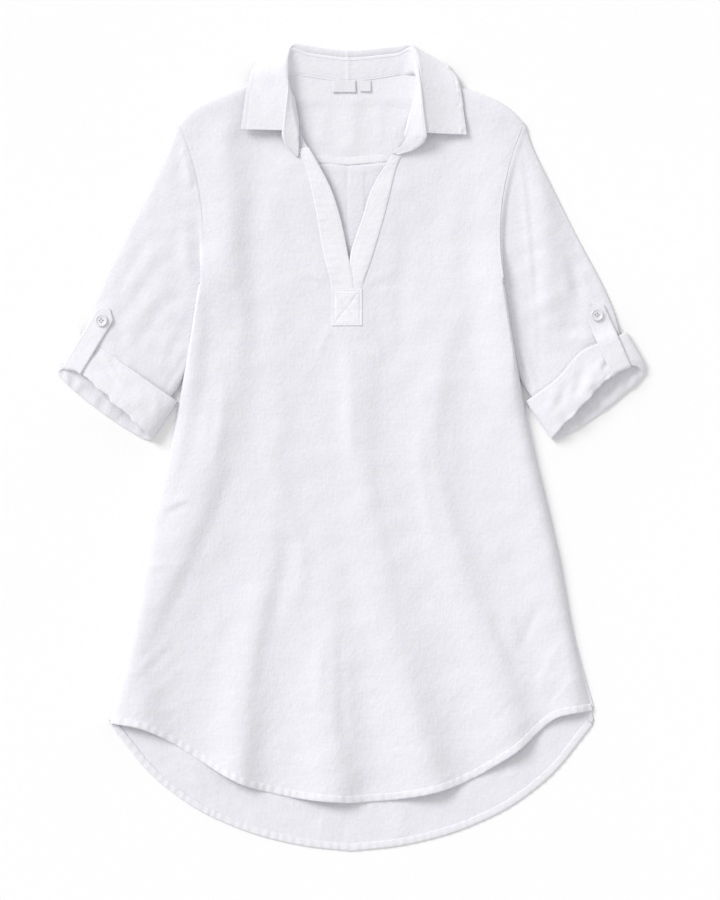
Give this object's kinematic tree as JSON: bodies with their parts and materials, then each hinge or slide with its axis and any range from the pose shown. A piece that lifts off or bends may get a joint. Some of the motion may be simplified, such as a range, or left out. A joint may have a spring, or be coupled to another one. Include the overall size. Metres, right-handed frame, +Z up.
{
  "type": "women's popover shirt dress",
  "caption": "Loose A-line popover dress with a shirt collar, open neck placket, rolled sleeves held by buttoned tabs and a curved longer back hem, laid flat.",
  "frame": {"origin": "on the surface it lies on, under the middle of the garment's outline", "axes": "+Y from hem to neck, +X to the picture's right (the garment's own left side), +Z up off the surface"},
  "size_m": [0.7032, 0.9679, 0.0171],
  "materials": {
    "linen": "matte white plain-weave linen with slubs",
    "button": "satin white",
    "label": "matte white woven tape"
  },
  "bodies": {
    "root": {"back_body": "linen", "back_yoke": "linen", "front": "linen", "placket_left": "linen", "placket_right": "linen", "placket_box": "linen", "sleeve_left": "linen", "sleeve_right": "linen", "cuff_left": "linen", "cuff_right": "linen", "tab_left": "linen", "tab_right": "linen", "collar_stand": "linen", "collar_leaf": "linen", "button_left": "button", "button_right": "button", "label_large": "label", "label_small": "label"}
  },
  "joints": []
}
